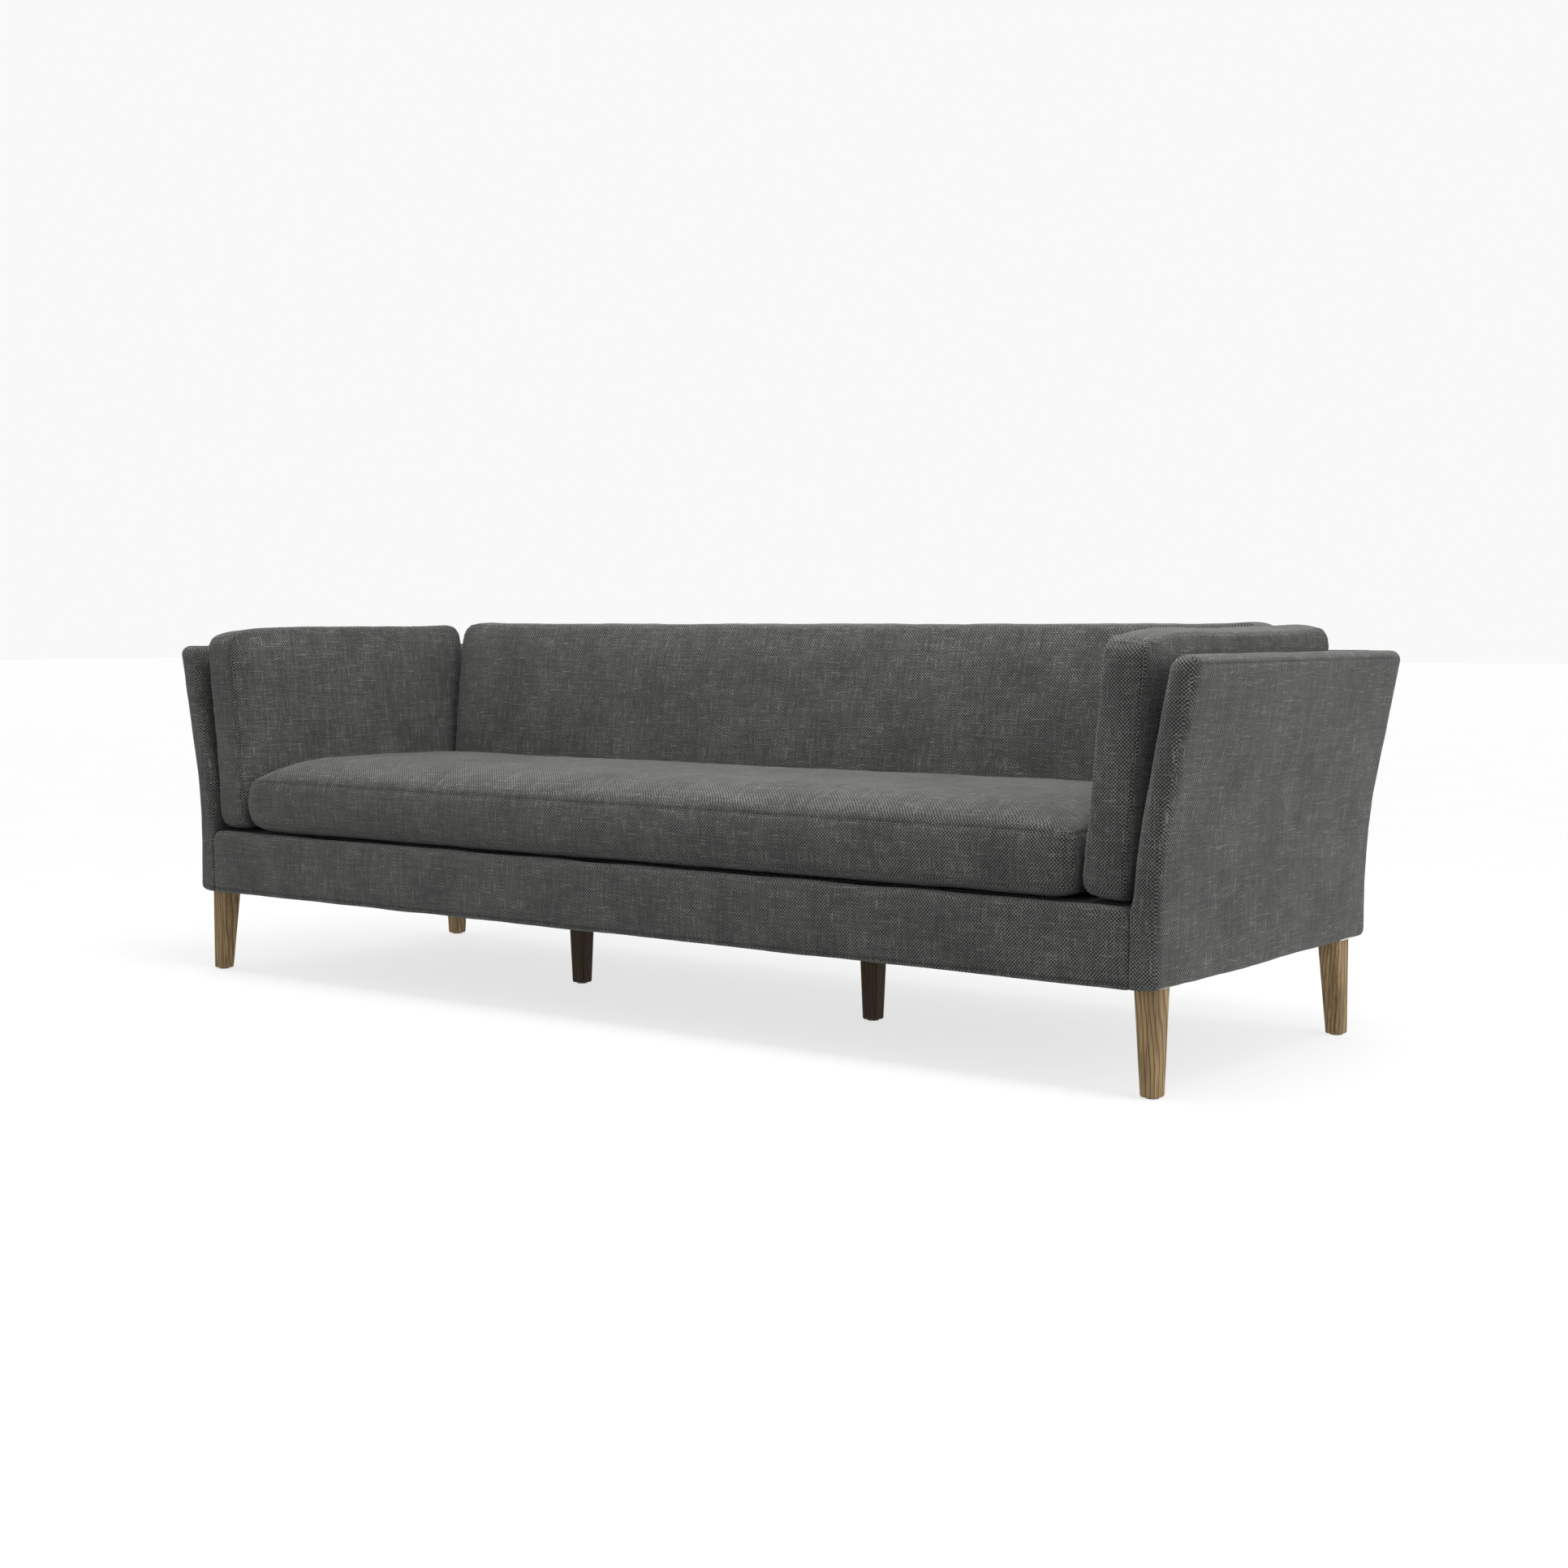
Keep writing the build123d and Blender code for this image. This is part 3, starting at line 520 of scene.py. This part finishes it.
def make_materials():
    """A material for each slot of the record, and one for the stitches."""
    # dark_oak is the oak darkened as painted shade, for the centre legs that stand in shadow under the
    # seat.
    dark_oak = ((0.045, 0.023, 0.005), (0.021, 0.011, 0.0025), (0.005, 0.0028, 0.0006))
    return {
        "upholstery_fabric": fabric("upholstery", (0.097, 0.101, 0.092), (0.0062, 0.0068, 0.0066)),
        "thread": speckled("thread", (0.17, 0.175, 0.155), 0.2, 1500, 0.8),
        "foam": speckled("foam", (0.80, 0.76, 0.62), 0.12, 700, 0.95, depth=0.001),
        "felt": speckled("felt", (0.33, 0.32, 0.30), 0.3, 900, 0.97),
        "lining_cloth": fabric("lining", (0.042, 0.042, 0.044), (0.022, 0.022, 0.024), pitch=0.0012),
        "webbing": fabric("webbing", (0.32, 0.26, 0.17), (0.16, 0.12, 0.075), pitch=0.0024),
        "zip": speckled("zip", (0.05, 0.052, 0.052), 0.25, 1200, 0.5),
        "zinc_steel": speckled("zinc_steel", (0.62, 0.63, 0.62), 0.12, 500, 0.36, 1.0, 0.0001),
        "glide_plastic": speckled("glide_plastic", (0.05, 0.045, 0.04), 0.15, 800, 0.45, depth=0.0001),
        "oak": wood("oak", (0.30, 0.205, 0.10), (0.165, 0.108, 0.05), (0.05, 0.03, 0.013)),
        # Painted shade: a darkened copy of the oak for the shaded centre legs.
        "dark_oak": wood("dark_oak", *dark_oak),
        "frame_wood": wood("frame_wood", (0.56, 0.44, 0.29), (0.44, 0.33, 0.20), (0.28, 0.19, 0.10), 0.6),
    }


MATERIALS = make_materials()


def dress(piece, material):
    piece.data.materials.clear()
    piece.data.materials.append(MATERIALS[material])


def dress_cad_nodes():
    """Give every CAD node the material its record slot names."""
    for part in frame["record"]["subparts"]:
        dress(frame["nodes"][part["node"]], part["material_slot"])


def settle(piece, body, material, replaced=()):
    """Material, body and replaced nodes for a finished piece."""
    dress(piece, material)
    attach(piece, body)
    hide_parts(*replaced)


# ---- Upholstered frame --------------------------------------------------------------------


def flare_x(depth, z):
    """X of the surface `depth` inside the right arm's outer face, for arrays."""
    radius = FLARE_RADIUS + depth
    centre = BASE_HALF_WIDTH + FLARE_RADIUS
    bend_end = FLARE_START + radius * math.sin(FLARE_ANGLE)
    curved = centre - np.sqrt(np.maximum(radius**2 - (z - FLARE_START) ** 2, TINY))
    straight = centre - radius * math.cos(FLARE_ANGLE) + (z - bend_end) * math.tan(FLARE_ANGLE)
    upright = centre - radius
    return np.where(z <= FLARE_START, upright, np.where(z >= bend_end, straight, curved))


def dome(value, low, high, power=2.0):
    """1 in the middle between two limits and 0 at them."""
    share = np.clip((value - low) / (high - low), 0, 1) * 2 - 1
    return 1 - np.abs(share) ** power


def arm(side, word):
    """An arm: a flared padded slab with a seam along its outer panel's top and rear."""
    seam_back = BACK_Y - 0.012
    seam_top = FRAME_TOP - 0.014
    seam_corner = 0.012
    low_radius, low_until, low_blend = 0.004, 0.325, 0.02
    fine = detail(0.009, 0.014)
    depths = stops(0, PANEL, THICKNESS_STEP)
    ys = stops(FRONT_Y, BACK_Y, fine, (seam_back,), SEAM_SPREAD)
    zs = stops(FRAME_BOTTOM, FRAME_TOP, fine, (seam_top,), SEAM_SPREAD)
    points, quads, _ = box_shell(depths, ys, zs)
    radius = 0.015 + 0.007 * np.clip((points[:, 2] - FRAME_BOTTOM) / 0.3, 0, 1)
    inside = points[:, 0] > PANEL / 2
    low_inside = inside * np.clip((low_until - points[:, 2]) / low_blend, 0, 1)
    radius = radius * (1 - low_inside) + low_radius * low_inside
    shape = rounded(points, (0, FRONT_Y, FRAME_BOTTOM), (PANEL, BACK_Y, FRAME_TOP), radius)
    puff = dome(shape[:, 1], FRONT_Y, BACK_Y, 4) * dome(shape[:, 2], FRAME_BOTTOM, FRAME_TOP, 6)
    shape[:, 0] -= np.clip(1 - points[:, 0] / (PANEL / 2), -1, 1) * puff * PUFF
    x = side * flare_x(shape[:, 0], shape[:, 2])
    made = np.stack([x, shape[:, 1], shape[:, 2]], axis=1)
    piece = add_mesh(f"arm_upholstery_{word}", made, quads if side < 0 else turned(quads))
    undulate(piece, 0.0022, 0.16, 1 + side)
    undulate(piece, 0.0007, 0.035, 4 + side)

    def on_face(y, z):
        return (side * float(flare_x(0.0005, np.array(z))), y, z)

    path = [on_face(y, seam_top) for y in np.linspace(FRONT_Y + 0.010, seam_back - seam_corner, 80)]
    path += [on_face(seam_back, z) for z in np.linspace(seam_top - seam_corner, FRAME_BOTTOM, 60)]
    sew(piece, [(path, False)], FRAME_SEAM)
    settle(piece, "frame", "upholstery_fabric", (f"arm_cover_{word}", f"arm_padding_{word}"))


def back_panel():
    """The padded back between the arms, following their flare at its ends."""
    front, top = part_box("back_cover")[0].y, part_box("back_cover")[1].z
    step = detail(0.012, 0.02)
    seams = (top - 0.016, FRAME_BOTTOM + 0.010)
    limit = BASE_HALF_WIDTH
    past_end = 0.01
    clearance = 0.0006
    ends = stops(-1, 1, step * 0.9)
    ys = stops(front, BACK_Y, THICKNESS_STEP)
    zs = stops(FRAME_BOTTOM, top, step, seams, SEAM_SPREAD)
    points, quads, _ = box_shell(ends, ys, zs)
    flat = points * (limit, 1, 1)
    radius = 0.008 + 0.014 * np.clip((points[:, 2] - FRAME_BOTTOM) / 0.4, 0, 1)
    low_corner = (-limit - past_end, front, FRAME_BOTTOM)
    shape = rounded(flat, low_corner, (limit + past_end, BACK_Y, top), radius)
    puff = dome(shape[:, 0], -limit, limit, 10) * dome(shape[:, 2], FRAME_BOTTOM, top, 6)
    shape[:, 1] += np.clip((points[:, 1] - (front + BACK_Y) / 2) / 0.025, -1, 1) * puff * PUFF
    shape[:, 0] = points[:, 0] * flare_x(PANEL + clearance, shape[:, 2])
    piece = add_mesh("back_upholstery", shape, quads)
    undulate(piece, 0.0025, 0.2, 9, lambda p: dome(p[:, 0], -1.15, 1.15, 20))
    undulate(piece, 0.0007, 0.04, 10, lambda p: dome(p[:, 0], -1.12, 1.12, 20))
    paths = []
    for z in seams:
        half = float(flare_x(PANEL, np.array(z)))
        paths.append(([(x, BACK_Y - 0.001, z) for x in np.linspace(-half, half, 300)], False))
    sew(piece, paths, FRAME_SEAM)
    settle(piece, "frame", "upholstery_fabric", ("back_cover", "back_padding"))


def front_rail():
    """The padded front rail with its hem line and a soft upper edge."""
    low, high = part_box("front_rail_cover")
    half = high.x + 0.0004
    top = high.z + 0.0005
    hem = low.z + 0.009
    corner = 0.020
    end_radius = 0.004
    puff_depth = 0.004
    xs = stops(-half, half, detail(0.009, 0.016), (corner - half, half - corner), (0.004, 0.008, 0.012))
    ys = stops(low.y, high.y, THICKNESS_STEP)
    zs = stops(low.z, top, THICKNESS_STEP, (hem,), SEAM_SPREAD)
    points, quads, _ = box_shell(xs, ys, zs)
    rise = np.clip((points[:, 2] - low.z) / (top - low.z), 0, 1)
    at_end = np.clip((np.abs(points[:, 0]) - half + 0.03) / 0.015, 0, 1)
    radius = (0.005 + 0.009 * rise) * (1 - at_end) + end_radius * at_end
    shape = rounded(points, (-half, low.y, low.z), (half, high.y, top), radius)
    over = np.clip(np.abs(shape[:, 0]) - half + corner, 0, corner)
    shape[:, 2] -= rise**6 * (corner - np.sqrt(corner**2 - over**2))
    puff = dome(shape[:, 0], -half, half, 60) * dome(shape[:, 2], low.z + 0.004, top, 3)
    shape[:, 1] -= np.clip(1 - (points[:, 1] - low.y) / 0.02, 0, 1) * puff * puff_depth
    piece = add_mesh("front_rail_upholstery", shape, quads)
    undulate(piece, 0.0022, 0.14, 21)
    undulate(piece, 0.0016, 0.018, 22, lambda p: np.exp(-(((p[:, 2] - hem - 0.004) / 0.010) ** 2)))
    path = [(x, low.y - 0.001, hem + 0.0006 * math.sin(x * 31)) for x in np.linspace(-half, half, 500)]
    sew(piece, [(path, False)], HEM_SEAM)
    settle(piece, "frame", "upholstery_fabric", ("front_rail_cover", "front_rail_padding"))


def cloth_sheet(name, node, z, replaced):
    """A stretched cloth, dished a little between its fixed edges."""
    low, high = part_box(node)
    step, sag, ripple_height = 0.03, 0.002, 0.0006
    xs, ys = stops(low.x, high.x, step), stops(low.y, high.y, step)
    points, quads = [], []
    for x in xs:
        for y in ys:
            dish = dome(x, low.x, high.x, 8) * dome(y, low.y, high.y, 4)
            ripple = noise.noise(Vector((x * 6, y * 6, z))) * ripple_height
            points.append((x, y, z - sag * dish + ripple * dish))
    across = len(ys)
    for i in range(len(xs) - 1):
        for j in range(across - 1):
            a = i * across + j
            quads.append((a, a + across, a + across + 1, a + 1))
    piece = add_mesh(name, points, quads)
    settle(piece, "frame", "lining_cloth", replaced)


# ---- Loose cushions ---------------------------------------------------------------------------


def inflate(piece):
    """Swell a cushion under its own pressure, moving no point further than the limit."""
    before = coords(piece)
    settings = piece.modifiers.new("Cloth", "CLOTH").settings
    settings.use_pressure = True
    settings.uniform_pressure_force = 4.0
    settings.effector_weights.gravity = 0
    settings.quality = 6
    scene = bpy.context.scene
    for number in range(1, 21):
        scene.frame_set(number)
    apply_modifiers(piece)
    scene.frame_set(1)
    moved = coords(piece) - before
    length = np.linalg.norm(moved, axis=1, keepdims=True)
    moved *= np.minimum(1, SWELL_LIMIT / np.maximum(length, TINY))
    set_coords(piece, before + moved)


def edge_loop(index, last, level):
    """Vertex numbers round the shell at one level of z."""
    right, rear = last
    keys = [(a, 0) for a in range(right)]
    keys += [(right, b) for b in range(rear)]
    keys += [(a, rear) for a in range(right, 0, -1)]
    keys += [(0, b) for b in range(rear, 0, -1)]
    return [index[(a, b, level)] for a, b in keys]


def crown(value, half, run):
    """The height of a crown from 0 at the seams to 1 inside, as a share."""
    share = np.clip((half - np.abs(value)) / run, 0, 1)
    return np.sqrt(np.maximum(1 - (1 - share) ** 2, 0))


def plan_corners(points, half_x, half_y, radius):
    """Round a box's four upright corners, in x and y."""
    inner_x, inner_y = half_x - radius, half_y - radius
    flat = points[:, :2]
    return pulled_in(flat, np.clip(flat, (-inner_x, -inner_y), (inner_x, inner_y)))


def edged(low, high, step):
    """Grid positions with one more row close to each end."""
    places = stops(low, high, step)
    close = 0.004
    return [places[0], places[0] + close] + places[1:-1] + [places[-1] - close, places[-1]]


class Cushion:
    """A boxed cushion lying in x and y about its own centre, before it is placed."""

    def __init__(self, half_x, half_y, box_low, box_high, step):
        self.half_x, self.half_y = half_x, half_y
        self.box_low, self.box_high = box_low, box_high
        xs, ys = edged(-half_x, half_x, step), edged(-half_y, half_y, step)
        zs = edged(box_low, box_high, step * 0.8)
        self.points, self.quads, index = box_shell(xs, ys, zs)
        last = (len(xs) - 1, len(ys) - 1)
        self.loops = [edge_loop(index, last, level) for level in (0, len(zs) - 1)]

    def shape(self, corner, top, bottom, run, low_run, bulge, pull):
        """Crown the two faces, round the corners, bulge the boxing and pull the sides in."""
        p = self.points
        made = p.copy()
        made[:, :2] = plan_corners(p, self.half_x, self.half_y, corner)
        share_x = made[:, 0] / self.half_x
        share_y = made[:, 1] / self.half_y
        on_side = np.maximum(np.abs(p[:, 0]) / self.half_x, np.abs(p[:, 1]) / self.half_y)
        middle = dome(p[:, 2], self.box_low, self.box_high) * np.clip((on_side - 0.9) / 0.1, 0, 1)
        for axis, half in ((0, self.half_x), (1, self.half_y)):
            outward = np.sign(made[:, axis]) * (np.abs(p[:, axis]) > half - EDGE)
            made[:, axis] += outward * middle * bulge
        for axis, share, along in ((0, share_x, 1 - share_y**2), (1, share_y, 1 - share_x**6)):
            near_edge = np.clip(np.abs(share) * 3 - 2, 0, 1)
            made[:, axis] -= np.sign(share) * pull * along * near_edge
        up = p[:, 2] >= self.box_high - EDGE
        down = p[:, 2] <= self.box_low + EDGE
        for chosen, rise, reach in ((up, top, run), (down, -bottom, low_run)):
            high = crown(p[:, 0], self.half_x, reach) * crown(p[:, 1], self.half_y, reach)
            made[:, 2] += chosen * high * rise
        return made


def finish_cushion(piece, loops, seed, body, replaced):
    """Subdivide, crease, sew and stitch a cushion, then hand it over."""
    waves, ripples, gather = 0.0022, 0.00099, 0.0011
    subdivide(piece, 1)
    undulate(piece, waves, 0.15, seed)
    undulate(piece, ripples, 0.045, seed + 1)
    points, outward = coords(piece), normals(piece)
    paths = [(points[loop], True) for loop in loops]
    nearby = closeness(points, np.vstack([path for path, _ in paths]), 0.022)
    shift = Vector((seed, 0, 0))
    gathers = np.array([noise.noise(Vector(p) / 0.011 + shift) for p in points])
    set_coords(piece, points + outward * (gathers * nearby * gather)[:, None])
    sew(piece, paths, CUSHION_SEAM)
    threads = stitches(piece.name.replace("_upholstery", "_stitches"), piece, paths)
    settle(piece, body, "upholstery_fabric", replaced)
    dress(threads, "thread")
    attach(threads, body)


def seat_cushion():
    """The bench cushion, widest at its front corners, where it clears the side cushions."""
    low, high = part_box("seat_cushion_cover")
    half_x, half_y = (high.x - low.x) / 2 - 0.004, (high.y - low.y) / 2 - 0.008
    forward = 0.005
    widening, widening_depth = 0.009, 0.05
    cushion = Cushion(half_x, half_y, low.z + 0.022, 0.418, detail(0.013, 0.02))
    made = cushion.shape(
        corner=0.030, top=0.051, bottom=0.020, run=0.15, low_run=0.050, bulge=0.007, pull=0.003
    )
    made[:, 1] += (low.y + high.y) / 2 - forward
    near_front = np.exp(-(((made[:, 1] - low.y) / widening_depth) ** 2))
    near_end = np.clip(np.abs(made[:, 0]) / half_x * 10 - 9, 0, 1)
    made[:, 0] += np.sign(made[:, 0]) * near_front * widening * near_end
    piece = add_mesh("seat_cushion_upholstery", made, cushion.quads)
    inflate(piece)
    replaced = ("seat_cushion_cover", "seat_cushion_foam")
    finish_cushion(piece, cushion.loops, 31, "seat_cushion", replaced)
    zip_low, zip_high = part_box("seat_cushion_zip")
    height = (zip_low.z + zip_high.z) / 2
    ends = [(x, high.y + 0.01, height) for x in (zip_high.x, zip_low.x)]
    zipper(piece, *ends, (0, 0, 1), "seat_cushion", "seat_cushion_zip")


def side_cushion(side, word):
    """A cushion that stands on the deck and leans on an arm, its top lower at the front."""
    low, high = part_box(f"side_cushion_cover_{word}")
    middle_y, middle_z = (low.y + high.y) / 2, (low.z + high.z) / 2
    middle_x = (abs(low.x) + abs(high.x)) / 2
    half_height, half_depth = SIDE_CUSHION_HEIGHT / 2 - 0.003, (high.y - low.y) / 2 - 0.003
    front_drop, drop_depth = 0.016, 0.10
    cushion = Cushion(half_height, half_depth, -0.037, 0.037, detail(0.010, 0.016))
    made = cushion.shape(
        corner=0.038, top=0.009, bottom=0.007, run=0.09, low_run=0.06, bulge=0.004, pull=0.004
    )
    at_front = np.exp(-(((made[:, 1] + half_depth) / drop_depth) ** 2))
    made[:, 0] -= front_drop * at_front * np.clip(made[:, 0] / half_height, 0, 1) ** 2
    sin, cos = math.sin(LEAN), math.cos(LEAN)
    x = made[:, 0] * sin - made[:, 2] * cos + middle_x
    z = made[:, 0] * cos + made[:, 2] * sin + middle_z
    placed = np.stack([side * x, made[:, 1] + middle_y, z], axis=1)
    quads = cushion.quads if side > 0 else turned(cushion.quads)
    piece = add_mesh(f"side_cushion_upholstery_{word}", placed, quads)
    inflate(piece)
    body = f"side_cushion_{word}"
    replaced = (f"side_cushion_cover_{word}", f"side_cushion_foam_{word}")
    finish_cushion(piece, cushion.loops, 41 + side, body, replaced)
    ends = []
    for reach in (-SIDE_ZIP_REACH, SIDE_ZIP_REACH):
        ends.append((side * (middle_x + reach * sin), high.y + 0.01, middle_z + reach * cos))
    zipper(piece, *ends, (side * cos, 0, -sin), body, f"side_cushion_zip_{word}")


def back_cushion():
    """The long cushion between the side cushions, leaning back from its foot."""
    low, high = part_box("back_cushion_cover")
    half_low = BACK_HALF_WIDTH - 0.004
    height = high.z - low.z
    foot_front, lean_back, crown_room = 0.186, 0.060, 0.012
    rear = high.y - 0.016
    box_half = 0.045
    cushion = Cushion(half_low, height / 2 - 0.0045, -box_half, box_half, detail(0.013, 0.02))
    made = cushion.shape(
        corner=0.036, top=0.012, bottom=0.006, run=0.10, low_run=0.10, bulge=0.004, pull=0.003
    )
    z = (low.z + high.z) / 2 + 0.0025 + made[:, 1]
    share = np.maximum((z - low.z) / height, 0)
    x = made[:, 0] * (1 + share * height * BACK_END_LEAN / half_low)
    front = foot_front + lean_back * share**1.6 + crown_room
    y = (front + rear) / 2 - made[:, 2] / box_half * (rear - front) / 2
    placed = np.stack([x, y, z], axis=1)
    piece = add_mesh("back_cushion_upholstery", placed, cushion.quads)
    inflate(piece)
    replaced = ("back_cushion_cover", "back_cushion_foam")
    finish_cushion(piece, cushion.loops, 51, "back_cushion", replaced)
    zip_low, zip_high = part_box("back_cushion_zip")
    ends = [(x, (zip_low.y + zip_high.y) / 2, low.z - 0.01) for x in (zip_low.x, zip_high.x)]
    zipper(piece, *ends, (0, 1, 0), "back_cushion", "back_cushion_zip")


# ---- Studio --------------------------------------------------------------------------------------


def link(name, data):
    made = bpy.data.objects.new(name, data)
    bpy.context.scene.collection.objects.link(made)
    return made


def lamp(name, place, target, size, power):
    """A rectangular light pointed at a target."""
    light = bpy.data.lights.new(name, "AREA")
    light.shape = "RECTANGLE"
    light.size, light.size_y = size
    light.energy = power
    made = link(name, light)
    made.location = place
    made.rotation_euler = (Vector(target) - Vector(place)).to_track_quat("-Z", "Y").to_euler()


def sky_light():
    """A wide, soft light from above."""
    sky = bpy.data.lights.new("sky", "SUN")
    sky.energy = 0.5
    sky.angle = math.radians(75)
    link("sky", sky).rotation_euler = (math.radians(-16), math.radians(7), 0)


def floor_sheet():
    """A wide pale floor, lit a little by itself so the shadow stays faint."""
    reach = 40
    corners = [(-reach, -reach, 0), (reach, -reach, 0), (reach, reach, 0), (-reach, reach, 0)]
    floor = add_mesh("floor", corners, [(0, 1, 2, 3)])
    paint = speckled("floor_paint", (0.18, 0.18, 0.18), 0.01, 3, 0.9)
    shader = paint.node_tree.nodes["Principled BSDF"]
    shader.inputs["Emission Color"].default_value = (1, 1, 1, 1)
    shader.inputs["Emission Strength"].default_value = 0.72
    floor.data.materials.append(paint)


def studio():
    """The camera, the pale surroundings and the lights."""
    scene = bpy.context.scene
    scene.view_settings.view_transform = "Standard"
    camera = link("camera", bpy.data.cameras.new("camera"))
    camera.location = (2.8533, -3.6006, 0.7565)
    camera.rotation_euler = (math.radians(90 - 4.005), 0, math.radians(37.177))
    camera.data.lens = 52.27
    camera.data.sensor_width = 36
    camera.data.clip_end = 200
    scene.camera = camera
    floor_sheet()
    scene.world = bpy.data.worlds.new("studio")
    scene.world.use_nodes = True
    background = scene.world.node_tree.nodes["Background"]
    background.inputs["Color"].default_value = (0.945, 0.945, 0.945, 1)
    background.inputs["Strength"].default_value = 1.0
    lamp("key", (3.5, 0.1, 1.05), (1.2, 0, 0.45), (2.4, 1.5), 38)
    lamp("top", (0.4, -0.35, 2.3), (0.4, -0.3, 0), (2.6, 1.2), 66)
    sky_light()


# ---- Build ------------------------------------------------------------------------------------------

dress_cad_nodes()
arm(1, "right")
arm(-1, "left")
back_panel()
front_rail()
cloth_sheet("deck_sheet", "deck_cloth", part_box("deck_cloth")[1].z, ("deck_cloth", "deck_padding"))
cloth_sheet("dust_sheet", "dust_cover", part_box("dust_cover")[0].z, ("dust_cover",))
seat_cushion()
side_cushion(1, "right")
side_cushion(-1, "left")
back_cushion()
studio()
